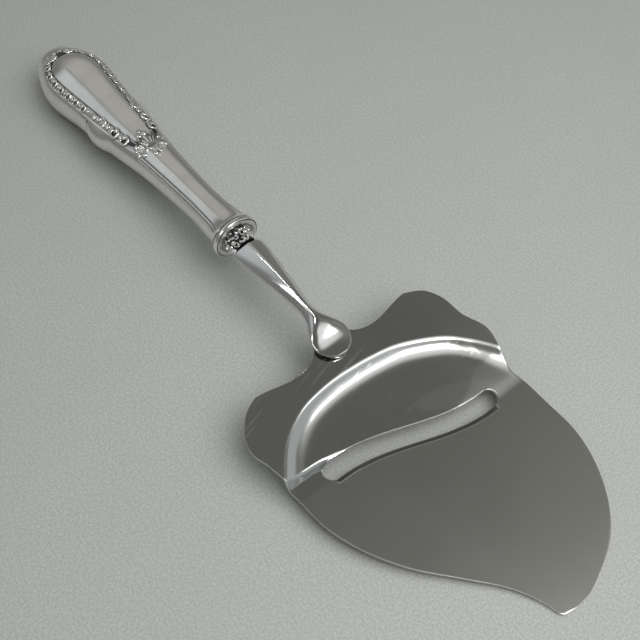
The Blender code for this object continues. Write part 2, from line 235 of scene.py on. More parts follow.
glints = (  # colour, watts, direction, distance, width and length
    lamp("key_lamp", WARM_WHITE, 0.28, (0.48, 0.27, 0.83), 0.90, 0.44, 0.13),
    lamp("spot_lamp", WARM_WHITE, 3.0, (0.52, 0.06, 0.85), 0.86, 0.06, 0.06),
    lamp("edge_lamp", WHITE, 1.3, (-0.06, -0.68, 0.73), 0.90, 0.42, 0.26),
    lamp("ridge_lamp", WHITE, 0.90, (-0.36, -0.03, 0.93), 1.0, 0.06, 0.42))
fills = (
    lamp("table_lamp", WARM_WHITE, 1.36, (0.40, 0.14, 0.905), 0.41, 0.44, 0.44),
    lamp("ceiling_fill", WARM_WHITE, 0.20, (0.0, 0.14, 0.99), 0.85, 0.60, 0.60))
for glint in glints:
    glint.visible_diffuse = False
for fill in fills:
    fill.visible_glossy = False
bpy.context.scene.view_settings.view_transform = 'Standard'

eye = bpy.data.objects.new("eye", bpy.data.cameras.new("eye"))
eye.data.sensor_width = SENSOR_MM
eye.data.sensor_fit = 'HORIZONTAL'
eye.data.lens = LENS_MM
eye.data.clip_start = EYE_NEAREST
eye.location = EYE_PLACE
eye.rotation_euler = [math.radians(angle) for angle in EYE_TURN]
bpy.context.collection.objects.link(eye)
bpy.context.scene.camera = eye

# Handle core: a brown cement cast inside the two halves of the handle, which grips the tang.
# It is hidden, so it keeps its plain solid.
CEMENT_DARK, CEMENT_PALE = (0.20, 0.15, 0.10, 1), (0.36, 0.28, 0.20, 1)
CEMENT_ROUGHNESS = 0.88
GRIT_DEPTH, GRIT_STRENGTH = 0.0003, 0.5
cement, shader, spot = finish("brown_cement", 0.0, CEMENT_ROUGHNESS)
grit = spot.noise(900, detail=4, roughness=0.6)
feed(shader, Base_Color=grit.ease(0.3, 0.7).blend(CEMENT_DARK, CEMENT_PALE),
     Normal=grit.bump(GRIT_DEPTH, GRIT_STRENGTH))
core = frame["nodes"]["handle_core"]
core.data.materials.clear()
core.data.materials.append(cement)

# Handle halves: two stampings of thin sterling silver, soldered along the sides over the core.
# Each has a smooth tear-shaped panel with a sunk border round it, a swelling on each flank where the
# border ends, and a pair of threads down the neck. Old polish stays dark in the sunk lines.
MM = 0.001
AXIS_X, AXIS_Y = -112.149, -0.744  # the handle's end and the slicer's middle line, in the frame
HANDLE_PITCH = math.radians(4.4)
HANDLE_LIFT = 6.914
HANDLE_LENGTH = 96.5
SQUARENESS = 2.25  # of the oval section: 2 is an ellipse
HANDLE_FORM = [  # along the axis from the end, half width, half depth
    (-1.30, 0.03, 0.03), (-1.12, 1.9, 1.6), (-0.3, 3.75, 3.2), (2.9, 7.06, 5.72), (14.5, 10.7, 7.95),
    (28.95, 9.42, 7.0), (38.6, 8.65, 6.2), (47.3, 8.04, 5.89), (60.8, 6.29, 5.19), (80.1, 5.2, 4.55),
    (89.75, 5.51, 4.78), (94.6, 6.1, 5.32), (96.5, 6.9, 6.05)]
SHEET, SHEET_SHARE = 0.6, 0.6  # its thickness, and the most of the half depth that it takes
NOSE_KNOT, NOSE_ROWS, NOSE_CROWDING = 3, 24, 1.3  # the rounded end, up to that knot of the form
ROW_RUNS = ((2.9, 50, 118), (50, 63, 65), (63, HANDLE_LENGTH, 67))  # from, to, rows of the mesh
HALF_COLUMNS, CREST_CROWDING = 62, 0.94
SEAM_CREASE = 50
BORDER_LINE = [  # along the axis, degrees from the crest
    (7.2, 0), (7.6, 16), (9.6, 33), (13.5, 43), (20, 46.5), (28, 46.5), (36, 43.5), (43, 40), (50, 36.5),
    (55.5, 31), (59, 24)]
BORDER_END, BORDER_FADE = 60, (57, 59)  # along the axis
BAND_EDGE, BAND_SINK = (1.2, 1.4), 0.16  # the sunk band: how far from its middle it ends, its depth
BAND_SOOT, BAND_RUBBED, BAND_RUB_RUN = 0.80, 0.44, (9, 17)  # darkest round the handle's end
LINE_AWAY, LINE_WIDTH, LINE_DEPTH, LINE_SOOT = 1.35, 0.16, 0.14, 0.7  # the fine line along the band
OUTER_LINE = 0.15  # how much of that line the band's outer side has
FLANK_SWELL = (34.8, 45.0, 1.1)  # start and end along the axis, and height
SWELL_LEAN, SWELL_FULLNESS = 0.85, 0.8
FLANK_RISE = {1: (50, 92), -1: (46, 72)}  # degrees from the crest, on the upper half and the lower
CREASES = ((34.8, 0.40, 0.8), (43.6, 0.06, 0.3))  # along the axis, depth, tarnish
CREASE_WIDTH, CREASE_RISE = 0.35, (55, 62)
THREAD_ANGLE = 47.0  # degrees from the crest
THREAD_SPAN, THREAD_FADES = (58.0, 95.4), (1.2, 0.6)
THREAD_OFFSET, THREAD_WIDTH, THREAD_DEPTH, THREAD_SOOT = 0.55, 0.2, 0.2, 0.85
SHELL_SPAN = (50, 64)  # along the axis
SHELL_HINGE, SHELL_REACH = 59.4, 5.4
SHELL_SPREAD, SHELL_SIDE, SHELL_RIB_TURN = 40.0, 4.0, 11.0  # degrees: each way, its fade, rib to rib
SHELL_RIM, SHELL_SCALLOP = 0.3, 0.5
SHELL_FLOOR, RIB_HEIGHT, RIB_FULLNESS = 0.18, 0.30, 0.7
HINGE_RISE, SHELL_SOOT = (0.5, 2.2), 0.85
BEAD, ARCH, SCROLL, SCROLL_BACK = range(4)
SMALL_SCROLL, SMALL_BEAD, SMALL_PITCH, SMALL_END = 2.7, 1.15, 1.75, 33.8
BOLD_MOTIFS = [  # along the axis, degrees from the crest, size, motif, turn of its run
    (5.2, 6, 1.7, BEAD, 0), (7.6, 14, 2.8, SCROLL, 90), (5.0, 22, 1.5, BEAD, 0),
    (7.4, 30, 2.4, SCROLL, 40), (36.3, 42.8, 2.3, BEAD, 0), (37.9, 40.8, 2.0, BEAD, 0),
    (40.0, 40.2, 3.0, ARCH, 110), (42.5, 38.8, 2.2, BEAD, 0), (46.4, 38.8, 3.6, SCROLL, 60),
    (48.7, 37.2, 1.6, BEAD, 0), (50.7, 36.6, 3.5, SCROLL, 20), (52.4, 5.2, 1.8, BEAD, 0),
    (54.2, 13.3, 2.0, BEAD, 0), (55.3, 29.5, 1.9, BEAD, 0), (56.4, 39.5, 1.4, BEAD, 0),
    (57.9, 43.1, 2.1, BEAD, 0), (60.2, 16.5, 3.9, ARCH, 35)]
SHADED_HOLLOWS = [(52.4, 33.4, 1.4), (53.2, 32.0, 1.4), (54.0, 30.6, 1.2)]  # painted shade and tarnish of a hollow whose dip is not modelled: along, degrees, size
CREST_BEADS = [(51.0, 0, 1.4, BEAD, 0), (62.2, 0, 1.4, BEAD, 0)]
BOLD_SOOT, SMALL_SOOT, SOOT_SPREAD = 0.95, 0.75, (0.42, 0.68)  # the spread in a motif's own sizes
POLISHED, WORN = 0.13, 0.23  # roughness of the plain silver and of the raised ornament
SILVER_BRIGHT, SILVER_SMUDGED = (0.88, 0.87, 0.845, 1), (0.81, 0.80, 0.775, 1)
SILVER_BLACK = (0.085, 0.082, 0.078, 1)
STREAK_DEPTH, STREAK_STRENGTH = 0.00004, 0.12


def smooth(low, high, value):
    """Ease from 0 at low to 1 at high."""
    t = min(1.0, max(0.0, (value - low) / (high - low)))
    return t * t * (3 - 2 * t)


def bell(distance, width):
    """A rounded bump: 1 at its middle, and almost gone two widths away."""
    return math.exp(-(distance / width) ** 2)


def stretch(start, end, count):
    """Evenly spaced places from start, with the end left to the next stretch."""
    return [start + (end - start) * i / count for i in range(count)]


def spline(points, t):
    """A point on the Catmull-Rom curve through points, with knot i at t = i."""
    last = len(points) - 1
    i = min(int(t), last - 1)
    f = t - i
    a, b = points[max(i - 1, 0)], points[i]
    c, d = points[i + 1], points[min(i + 2, last)]
    return [0.5 * (2 * q + (r - p) * f + (2 * p - 5 * q + 4 * r - s) * f ** 2
                   + (3 * q - p - 3 * r + s) * f ** 3) for p, q, r, s in zip(a, b, c, d)]


def knot_at(points, value):
    """Where along a spline its first number reaches value."""
    low, high = 0.0, len(points) - 1.0
    for _ in range(22):
        middle = (low + high) / 2
        if spline(points, middle)[0] < value:
            low = middle
        else:
            high = middle
    return low


def tabled(points, step=0.2):
    """A spline through points as a function: its other numbers at any value of its first."""
    first = points[0][0]
    count = int((points[-1][0] - first) / step)
    table = [spline(points, knot_at(points, first + step * i))[1:] for i in range(count + 1)]

    def look_up(value):
        place = (value - first) / step
        i = min(max(int(place), 0), count - 1)
        return [a + (b - a) * (place - i) for a, b in zip(table[i], table[i + 1])]

    return look_up


def girth(along):
    """Half width and half depth of the handle at a place along it."""
    return spline(HANDLE_FORM, knot_at(HANDLE_FORM, along))[1:]


def taper(along, step=0.05):
    """Girth at a place, with how fast it grows there."""
    behind = girth(max(along - step, HANDLE_FORM[0][0]))
    ahead = girth(min(along + step, HANDLE_LENGTH))
    here = girth(along)
    return (*here, (ahead[0] - behind[0]) / (2 * step), (ahead[1] - behind[1]) / (2 * step))


def wrap(along, angle, lift=0.0, form=None):
    """A point on the handle's skin and its outward normal, in axis millimetres; angle 90 is the crest."""
    wide, deep, wide_grow, deep_grow = form or taper(along)
    c, s = math.cos(math.radians(angle)), math.sin(math.radians(angle))
    cy, sz = abs(c) ** (2 / SQUARENESS), abs(s) ** (2 / SQUARENESS)
    y, z = math.copysign(wide * cy, c), math.copysign(deep * sz, s)
    out = Vector((-(cy ** SQUARENESS * wide_grow / wide + sz ** SQUARENESS * deep_grow / deep),
                  math.copysign(cy ** (SQUARENESS - 1) / wide, c),
                  math.copysign(sz ** (SQUARENESS - 1) / deep, s))).normalized()
    return Vector((along, y, z)) + out * lift, out


def lay(point):
    """Axis millimetres of the tilted handle to the frame's metres."""
    x, y, z = point
    c, s = math.cos(HANDLE_PITCH), math.sin(HANDLE_PITCH)
    return Vector(((x * c - z * s + AXIS_X) * MM, (y + AXIS_Y) * MM, (x * s + z * c + HANDLE_LIFT) * MM))


def border_spots(side, steps=220):
    """Places (along, angle) down the border on one flank of a half, from the end's middle to the shell."""
    spots = []
    for i in range(steps + 1):
        along, tilt = spline(BORDER_LINE, (len(BORDER_LINE) - 1) * i / steps)
        spots.append((along, 90 + side * tilt))
    return spots


def motif_places(flank):
    """Where the ornament's motifs stand on one flank of a half: as BOLD_MOTIFS, the small ones first."""
    places = []
    walked, turn, before = 0.0, 0, None
    for along, angle in border_spots(1, 900):
        here = wrap(along, angle)[0]
        step = here - (before or here)
        walked += step.length
        if walked > SMALL_PITCH and along < SMALL_END:
            heading = math.degrees(math.atan2(abs(step.y), step.x))
            size, kind = (SMALL_SCROLL, SCROLL) if turn % 2 else (SMALL_BEAD, BEAD)
            places.append((along, angle - 90, size, kind, heading))
            walked, turn = 0.0, turn + 1
        before = here
    return places + (CREST_BEADS if flank > 0 else []) + BOLD_MOTIFS


def patina_and_shade_places():
    """Where old polish gathers, and where the shade of unmodelled hollows is painted: along, degrees from
    the crest, size and darkness, for one flank.
    """
    places = []
    for along, tilt, size, kind, _ in motif_places(1):
        if kind != ARCH:
            places.append((along, tilt, size, BOLD_SOOT if size > SMALL_SCROLL else SMALL_SOOT))
    return places + [(*hollow, BOLD_SOOT) for hollow in SHADED_HOLLOWS]


def search_tree(points):
    """A tree that finds the nearest of points, by its place among them."""
    tree = KDTree(len(points))
    for index, point in enumerate(points):
        tree.insert(point, index)
    tree.balance()
    return tree


def shell_relief(along, across):
    """The fan shell at the head of the neck: ribs that spread from a hinge."""
    ahead = SHELL_HINGE - along
    reach, turn = math.hypot(ahead, across), math.degrees(math.atan2(across, ahead))
    wave = math.cos(math.pi * turn / SHELL_RIB_TURN) ** 2
    fan = 1 - smooth(SHELL_SPREAD - SHELL_SIDE, SHELL_SPREAD, abs(turn))
    edge = 1 - smooth(-SHELL_RIM, SHELL_RIM, reach - SHELL_REACH - SHELL_SCALLOP * wave)
    lift = fan * edge * (SHELL_FLOOR + RIB_HEIGHT * wave ** RIB_FULLNESS) * smooth(*HINGE_RISE, reach)
    tarnish_and_shade = fan * edge * SHELL_SOOT * (1 - wave) ** 2
    return lift, tarnish_and_shade


border_tilt = tabled(BORDER_LINE)


def relief(side, along, tilt, apart, near, radius):
    """Height of the stamped relief over the plain form, and how much tarnish lies there."""
    lift, tarnish_and_shade = 0.0, 0.0
    across = math.radians(tilt) * radius
    if along < BORDER_END:
        inside = 1 - smooth(*BORDER_FADE, along)
        band = 1 - smooth(*BAND_EDGE, apart)
        inner = along > BORDER_LINE[0][0] and tilt < border_tilt(along)[0]
        line = bell(apart - LINE_AWAY, LINE_WIDTH) * (1.0 if inner else OUTER_LINE)
        soot = BAND_SOOT - BAND_RUBBED * smooth(*BAND_RUB_RUN, along)
        lift += inside * (-BAND_SINK * band - LINE_DEPTH * line)
        tarnish_and_shade = max(inside * (soot * band + LINE_SOOT * line), near)
    if SHELL_SPAN[0] < along < SHELL_SPAN[1]:
        raised, soot = shell_relief(along, across)
        lift += raised
        tarnish_and_shade = max(tarnish_and_shade, soot)
    start, end, swell = FLANK_SWELL
    if start < along < end:
        share = (along - start) / (end - start)
        bulge = math.sin(math.pi * share ** SWELL_LEAN) ** SWELL_FULLNESS
        lift += smooth(*FLANK_RISE[side], tilt) * swell * bulge
    for place, deep, soot in CREASES:
        crease = bell(along - place, CREASE_WIDTH) * smooth(*CREASE_RISE, tilt)
        lift -= deep * crease
        tarnish_and_shade = max(tarnish_and_shade, soot * crease)
    start, end = THREAD_SPAN
    fade_in, fade_out = THREAD_FADES
    run = smooth(start, start + fade_in, along) * (1 - smooth(end - fade_out, end, along))
    for groove in (-THREAD_OFFSET, THREAD_OFFSET):
        line = run * bell(across - math.radians(THREAD_ANGLE) * radius - groove, THREAD_WIDTH)
        lift -= THREAD_DEPTH * line
        tarnish_and_shade = max(tarnish_and_shade, THREAD_SOOT * line)
    return lift, min(tarnish_and_shade, 1.0)


def half_shell(name, side):
    """One stamped half as a closed sheet; side is 1 for the upper half and -1 for the lower."""
    border = search_tree([wrap(*spot)[0] for flank in (1, -1) for spot in border_spots(flank)])
    patina_and_shade = patina_and_shade_places()
    motifs = search_tree([wrap(along, 90 + flank * tilt)[0]
                          for along, tilt, _, _ in patina_and_shade for flank in (1, -1)])
    rows = [spline(HANDLE_FORM, NOSE_KNOT * (i / NOSE_ROWS) ** NOSE_CROWDING)[0] for i in range(NOSE_ROWS)]
    for run in ROW_RUNS:
        rows += stretch(*run)
    rows.append(HANDLE_LENGTH)
    angles = [90 + 90 * math.copysign(abs(i / HALF_COLUMNS) ** CREST_CROWDING, i)
              for i in range(-HALF_COLUMNS, HALF_COLUMNS + 1)]
    bm = bmesh.new()
    dark = bm.verts.layers.float.new("tarnish_and_shade")
    outer, inner = [], []
    for along in rows:
        form = taper(along)
        radius = (form[0] + form[1]) / 2
        thin = min(SHEET, form[1] * SHEET_SHARE)
        outer_row, inner_row = [], []
        for angle in angles:
            base, out = wrap(along, angle, 0, form)
            apart = border.find(base)[2]
            _, index, away = motifs.find(base)
            size, soot = patina_and_shade[index // 2][2:]
            # near: tarnish round the motifs, and painted shade at the unmodelled hollows
            near = soot * (1 - smooth(*SOOT_SPREAD, away / size))
            lift, tarnish_and_shade = relief(side, along, abs(angle - 90), apart, near, radius)
            point, sunk = base + out * lift, base - out * thin
            vert = bm.verts.new(lay((point.x, side * point.y, side * point.z)))
            vert[dark] = tarnish_and_shade
            outer_row.append(vert)
            inner_row.append(bm.verts.new(lay((sunk.x, side * sunk.y, side * sunk.z))))
        outer.append(outer_row)
        inner.append(inner_row)
    for skin in (outer, inner):
        for a, b in zip(skin, skin[1:]):
            for j in range(len(angles) - 1):
                bm.faces.new((a[j], a[j + 1], b[j + 1], b[j]))
    for end in (0, -1):
        for a, b in zip(range(len(rows) - 1), range(1, len(rows))):
            bm.faces.new((outer[a][end], outer[b][end], inner[b][end], inner[a][end]))
        for j in range(len(angles) - 1):
            bm.faces.new((outer[end][j], outer[end][j + 1], inner[end][j + 1], inner[end][j]))
    bmesh.ops.remove_doubles(bm, verts=bm.verts, dist=1e-7)
    bmesh.ops.recalc_face_normals(bm, faces=bm.faces)
    return as_mesh(bm, name, SEAM_CREASE)


def silver_finish(name, gloss):
    """Polished silver: faint streaks and smudges, dark where the mesh's darkness attribute is high:
    tarnish, and painted shade at the unmodelled hollows.
    """
    mat, shader, spot = finish(name, 1.0, gloss)
    dark = spot.attribute("tarnish_and_shade")
    smudge = spot.noise(140, detail=4, roughness=0.6).ease(0.35, 0.75)
    streak = spot.noise(900, detail=2, roughness=0.5, stretch=(16, 1, 1))
    patchy = 0.75 + 0.5 * spot.noise(1500, detail=3, roughness=0.6)
    dirt = (dark * patchy).ease(0.12, 0.95)
    clean = smudge.blend(SILVER_BRIGHT, SILVER_SMUDGED)
    feed(shader, Base_Color=dirt.blend(clean, SILVER_BLACK),
         Roughness=gloss + 0.06 * smudge + 0.04 * streak + 0.30 * dirt,
         Normal=streak.bump(STREAK_DEPTH, STREAK_STRENGTH))
    return mat


def new_piece(name, mesh, mat, replaced=None):
    """Give a finished mesh its object, material and place in the frame."""
    piece = bpy.data.objects.new(name, mesh)
    bpy.context.collection.objects.link(piece)
    mesh.materials.clear()
    mesh.materials.append(mat)
    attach(piece, "root")
    if replaced:
        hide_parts(replaced)
    return piece


silver = silver_finish("old_silver", POLISHED)
silver_back = silver_finish("old_silver_back", POLISHED)
front_shell = half_shell("handle_front_shell", 1)
new_piece("handle_front_shell", front_shell, silver, "handle_front")
back_shell = half_shell("handle_back_shell", -1)
new_piece("handle_back_shell", back_shell, silver_back, "handle_back")

# Stamped ornament: small scrolls and beads that run round each panel's border, bold scrolls towards the
# neck, and beads about the shell. They are one stamping with the halves, crisp and bright on top.
MOTIF_SINK, MOTIF_RISE, BACK_RISE = 0.12, 0.5, 0.32
FOOT_SOOT = (-0.04, 0.10)  # heights between which a motif's foot turns from dark to bright
BEAD_FLATNESS = 0.8
CURL_RADIUS, CURL_STEPS, CURL_SIDES = 0.42, 16, 6
CURL_FOOT, CURL_LIFT, CURL_RISE, CURL_BALL = 0.05, 0.5, 1.3, 1.35  # the last three in the tube's radii


def as_motif(bm, name, group):
    """A motif of unit size as an object, with its foot darkened: tarnish on the silver ornament, painted
    shade on the steel knob.
    """
    dark = bm.verts.layers.float.new("tarnish_and_shade")
    for vert in bm.verts:
        vert[dark] = 1 - smooth(*FOOT_SOOT, vert.co.z)
    bmesh.ops.recalc_face_normals(bm, faces=bm.faces)
    group.objects.link(bpy.data.objects.new(name, as_mesh(bm, name)))


def bead_motif(group):
    """A flattened ball."""
    bm = bmesh.new()
    bmesh.ops.create_uvsphere(bm, u_segments=10, v_segments=6, radius=0.5)
    for vert in bm.verts:
        vert.co.z *= BEAD_FLATNESS
    as_motif(bm, "motif_0_bead", group)


def loft(bm, rings):
    """A closed skin over rings of as many points each, with a cap on both ends."""
    count = len(rings[0])
    for a, b in zip(rings, rings[1:]):
        for j in range(count):
            k = (j + 1) % count
            bm.faces.new((a[j], a[k], b[k], b[j]))
    bm.faces.new(rings[0])
    bm.faces.new(rings[-1])


def curl_motif(group, name, start, sweep, shrink, thin, thick):
    """A tube curled in the plane, from a thin tail to a thick head, with a ball on both ends."""
    bm = bmesh.new()
    rings = []
    for i in range(CURL_STEPS + 1):
        t = i / CURL_STEPS
        turn = math.radians(start + sweep * t)
        radius = CURL_RADIUS * (1 - shrink * t)
        tube = thin + (thick - thin) * t
        heading = Vector((math.cos(turn), math.sin(turn), 0))
        centre = heading * radius + Vector((0, 0, CURL_FOOT + CURL_LIFT * tube))
        ring = []
        for j in range(CURL_SIDES):
            lean = 2 * math.pi * j / CURL_SIDES
            rise = Vector((0, 0, CURL_RISE * tube * math.sin(lean)))
            ring.append(bm.verts.new(centre + heading * tube * math.cos(lean) + rise))
        rings.append(ring)
        if i in (0, CURL_STEPS):
            ball = bmesh.ops.create_uvsphere(bm, u_segments=8, v_segments=6, radius=CURL_BALL * tube)
            bmesh.ops.translate(bm, verts=ball["verts"], vec=centre)
    loft(bm, rings)
    as_motif(bm, name, group)


def ornament_tree():
    """Geometry Nodes that set a motif on each spot, by its face, run, size and kind attributes."""
    tree = bpy.data.node_groups.new("stamped_ornament", 'GeometryNodeTree')
    for name, kind in (("Spots", 'NodeSocketGeometry'), ("Motifs", 'NodeSocketCollection'),
                       ("Unit", 'NodeSocketFloat'), ("Metal", 'NodeSocketMaterial')):
        tree.interface.new_socket(name, in_out='INPUT', socket_type=kind)
    tree.interface.new_socket("Ornament", in_out='OUTPUT', socket_type='NodeSocketGeometry')
    given = {socket.name: Tone(tree, socket) for socket in tree.nodes.new("NodeGroupInput").outputs}
    spots = given["Spots"]

    def read(name, kind):
        return spots.make("GeometryNodeInputNamedAttribute", {"data_type": kind}, {"Name": name})

    motifs = spots.make("GeometryNodeCollectionInfo", {},
                        {"Collection": given["Motifs"], "Separate Children": True, "Reset Children": True})
    turn = spots.make("FunctionNodeAxesToRotation", {"primary_axis": 'Z', "secondary_axis": 'X'},
                      {0: read("face", 'FLOAT_VECTOR'), 1: read("run", 'FLOAT_VECTOR')})
    size = spots.make("ShaderNodeVectorMath", {"operation": 'SCALE'},
                      {0: read("size", 'FLOAT_VECTOR'), "Scale": given["Unit"]})
    placed = spots.make("GeometryNodeInstanceOnPoints", {},
                        {"Points": spots, "Instance": motifs, "Pick Instance": True,
                         "Instance Index": read("kind", 'INT'), "Rotation": turn, "Scale": size})
    real = placed.make("GeometryNodeRealizeInstances", {}, {"Geometry": placed})
    dressed = real.make("GeometryNodeSetMaterial", {}, {"Geometry": real, "Material": given["Metal"]})
    tree.links.new(dressed.socket, tree.nodes.new("NodeGroupOutput").inputs["Ornament"])
    return tree


motif_group = bpy.data.collections.new("motifs")
bpy.context.scene.collection.children.link(motif_group)
bead_motif(motif_group)
curl_motif(motif_group, "motif_1_arch", start=82, sweep=196, shrink=0.0, thin=0.16, thick=0.16)
curl_motif(motif_group, "motif_2_scroll", start=-130, sweep=285, shrink=0.34, thin=0.11, thick=0.19)
curl_motif(motif_group, "motif_3_scroll_back", start=130, sweep=-285, shrink=0.34, thin=0.11, thick=0.19)
set_motifs = ornament_tree()


def stamp(name, spots, metal):
    """Set motifs on spots of (point, face, run, size, kind) and return the plain mesh they make."""
    cloud = bpy.data.meshes.new(name)
    cloud.from_pydata([spot[0] for spot in spots], [], [])
    for place, (label, kind) in enumerate((("face", 'FLOAT_VECTOR'), ("run", 'FLOAT_VECTOR'),
                                           ("size", 'FLOAT_VECTOR'), ("kind", 'INT')), 1):
        layer = cloud.attributes.new(label, kind, 'POINT').data
        for cell, spot in zip(layer, spots):
            setattr(cell, "value" if kind == 'INT' else "vector", spot[place])
    holder = bpy.data.objects.new(name, cloud)
    bpy.context.collection.objects.link(holder)
    nodes = holder.modifiers.new("motifs", 'NODES')
    nodes.node_group = set_motifs
    given = {"Motifs": motif_group, "Unit": MM, "Metal": metal}
    for socket in set_motifs.interface.items_tree:
        if socket.name in given:
            nodes[socket.identifier] = given[socket.name]
    graph = bpy.context.evaluated_depsgraph_get()
    mesh = bpy.data.meshes.new_from_object(holder.evaluated_get(graph), preserve_all_data_layers=True,
                                           depsgraph=graph)
    bpy.data.objects.remove(holder)
    mesh.name = name
    mesh.shade_smooth()
    return mesh


def handle_spot(side, flank, along, tilt, size, kind, heading):
    """A motif's spot on one half of the handle; heading turns its run away from the axis, in degrees."""
    point, out = wrap(along, 90 + flank * tilt, -MOTIF_SINK)
    ahead = wrap(along + 0.1, 90 + flank * tilt, -MOTIF_SINK)[0] - point
    ahead = (ahead - out * ahead.dot(out)).normalized()
    beside = out.cross(ahead) * -flank
    run = ahead * math.cos(math.radians(heading)) + beside * math.sin(math.radians(heading))
    flip = Matrix.Diagonal((1, side, side))
    level = lay((0, 0, 0))
    rise = size * (MOTIF_RISE if side > 0 else BACK_RISE)
    return lay(flip @ point), lay(flip @ out) - level, lay(flip @ run) - level, (size, size, rise), kind


def ornament(name, side, metal):
    """All motifs of one half, with scrolls that curl the other way on its second flank."""
    spots = []
    for flank in (1, -1):
        for along, tilt, size, kind, heading in motif_places(flank):
            curl = SCROLL_BACK if kind == SCROLL and flank < 0 else kind
            spots.append(handle_spot(side, flank, along, tilt, size, curl, heading))
    return stamp(name, spots, metal)


worn_silver = silver_finish("worn_silver", WORN)
worn_silver_back = silver_finish("worn_silver_back", WORN)
front_ornament = ornament("front_ornament", 1, worn_silver)
new_piece("front_ornament", front_ornament, worn_silver)
back_ornament = ornament("back_ornament", -1, worn_silver_back)
new_piece("back_ornament", back_ornament, worn_silver_back)

# Ferrule ring: a rolled and turned silver ring soldered round the handle's mouth, with a rounded
# outer edge, a flat front and a shallow groove between them.
RING_WIDTH, RING_DEPTH = 14.2, 12.6
RING_PROFILE = [  # along the axis, in from the outer edge, tarnish
    (96.62, 1.9, 1), (96.62, 0.55, 1), (96.75, 0.2, 0.3), (97.05, 0.03, 0), (97.45, 0.0, 0),
    (97.85, 0.06, 0), (98.15, 0.24, 0), (98.2, 0.36, 0.5), (98.08, 0.48, 1), (98.2, 0.6, 0.7),
    (98.45, 0.7, 0.3), (98.55, 0.9, 0.36), (98.5, 1.3, 0.42), (98.4, 1.75, 0.45), (98.2, 2.02, 0.7),
    (97.8, 2.1, 1)]
TURNED_STEPS, TURNED_CREASE = 96, 40


def turned(profile, name):
    """Spin a closed profile of (along, inset, tarnish) round the axis as an oval ring."""
    bm = bmesh.new()
    dark = bm.verts.layers.float.new("tarnish_and_shade")
    rings = []
    for i in range(TURNED_STEPS):
        turn = 2 * math.pi * i / TURNED_STEPS
        ring = []
        for along, inset, tarnish_and_shade in profile:
            y, z = (RING_WIDTH / 2 - inset) * math.cos(turn), (RING_DEPTH / 2 - inset) * math.sin(turn)
            vert = bm.verts.new(lay((along, y, z)))
            vert[dark] = tarnish_and_shade
            ring.append(vert)
        rings.append(ring)
    count = len(profile)
    for a, b in zip(rings, rings[1:] + rings[:1]):
        for j in range(count):
            bm.faces.new((a[j], b[j], b[(j + 1) % count], a[(j + 1) % count]))
    bmesh.ops.recalc_face_normals(bm, faces=bm.faces)
    return as_mesh(bm, name, TURNED_CREASE)


ring_silver = silver_finish("ring_silver", POLISHED)
new_piece("mouth_ring", turned(RING_PROFILE, "mouth_ring"), ring_silver, "ferrule_ring")

# End plate: a thin dished disc of silver, turned like the ring and let into it.
# It closes the handle's mouth round the tang, and its hollow has gone dark.
PLATE_PROFILE = [  # along the axis, in from the ring's outer edge, tarnish
    (96.7, 1.95, 1), (98.3, 1.95, 0.8), (98.2, 2.3, 0.5), (98.05, 3.0, 0.55), (98.0, 4.6, 0.7),
    (96.7, 4.6, 1)]
plate_silver = silver_finish("plate_silver", POLISHED)
new_piece("mouth_plate", turned(PLATE_PROFILE, "mouth_plate"), plate_silver, "end_plate")

# Neck collar: a small cast knob of bright steel, held on the tang between the plate and the shank.
# It has a waisted core, painted near black as the shade in the gaps, set round with three uneven tiers of
# small beads and curls.
COLLAR_START = 98.1
COLLAR_CORE = [(0.0, 3.5), (0.8, 3.7), (2.1, 2.9), (3.4, 3.3), (4.5, 3.0)]  # along from its start, radius
CORE_SIDES, KNOB_CREASE = 48, 60
BOSS_TIERS = (  # along, radius, size and count of the bosses
    (0.9, 3.3, 2.5, 11), (2.3, 3.1, 1.9, 11), (3.6, 2.8, 2.1, 10))
BOSS_KINDS, BOSS_FORM = (BEAD, ARCH, ARCH, SCROLL), (1.0, 0.8, 1.1)
BOSS_STRAY, BOSS_SHIFT, BOSS_SIZES = 0.15, 0.25, (0.85, 1.15)  # round, along, and in size
BOSS_SEED = 5
# the second colour is the near black of painted shade and painted dark reflections
SATIN_AND_REFLECTION_STEEL, PAINTED_SHADE_STEEL = (0.66, 0.655, 0.62, 1), (0.05, 0.05, 0.049, 1)
SMEAR_PALER = 1.05


def boss_spots():
    """A spot for each boss of the knob, no two quite alike."""
    spots = []
    level = lay((0, 0, 0))
    chance = random.Random(BOSS_SEED)
    for tier, (along, radius, size, count) in enumerate(BOSS_TIERS):
        for i in range(count):
            turn = 2 * math.pi * (i + tier / 2 + chance.uniform(-BOSS_STRAY, BOSS_STRAY)) / count
            lean = chance.uniform(0, 2 * math.pi)
            out = Vector((0, math.cos(turn), math.sin(turn)))
            run = Vector((math.cos(lean), -math.sin(turn) * math.sin(lean),
                          math.cos(turn) * math.sin(lean)))
            big = size * chance.uniform(*BOSS_SIZES)
            shift = chance.uniform(-BOSS_SHIFT, BOSS_SHIFT)
            place = Vector((COLLAR_START + along + shift, 0, 0)) + out * radius
            form = [big * part for part in BOSS_FORM]
            spots.append((lay(place), lay(out) - level, lay(run) - level, form, chance.choice(BOSS_KINDS)))
    return spots


def beaded_knob(metal):
    """The collar: a turned core with the bosses set round it."""
    bosses = stamp("knob_bosses", boss_spots(), metal)
    bm = bmesh.new()
    dark = bm.verts.layers.float.new("tarnish_and_shade")
    rings = []
    for along, radius in COLLAR_CORE:
        ring = []
        for j in range(CORE_SIDES):
            turn = 2 * math.pi * j / CORE_SIDES
            y, z = radius * math.cos(turn), radius * math.sin(turn)
            vert = bm.verts.new(lay((COLLAR_START + along, y, z)))
            # painted shade: the core is near black so the gaps between the bosses look deep
            vert[dark] = 1.0
            ring.append(vert)
        rings.append(ring)
    loft(bm, rings)
    bmesh.ops.recalc_face_normals(bm, faces=bm.faces)
    bm.from_mesh(bosses)
    return as_mesh(bm, "beaded_knob", KNOB_CREASE)


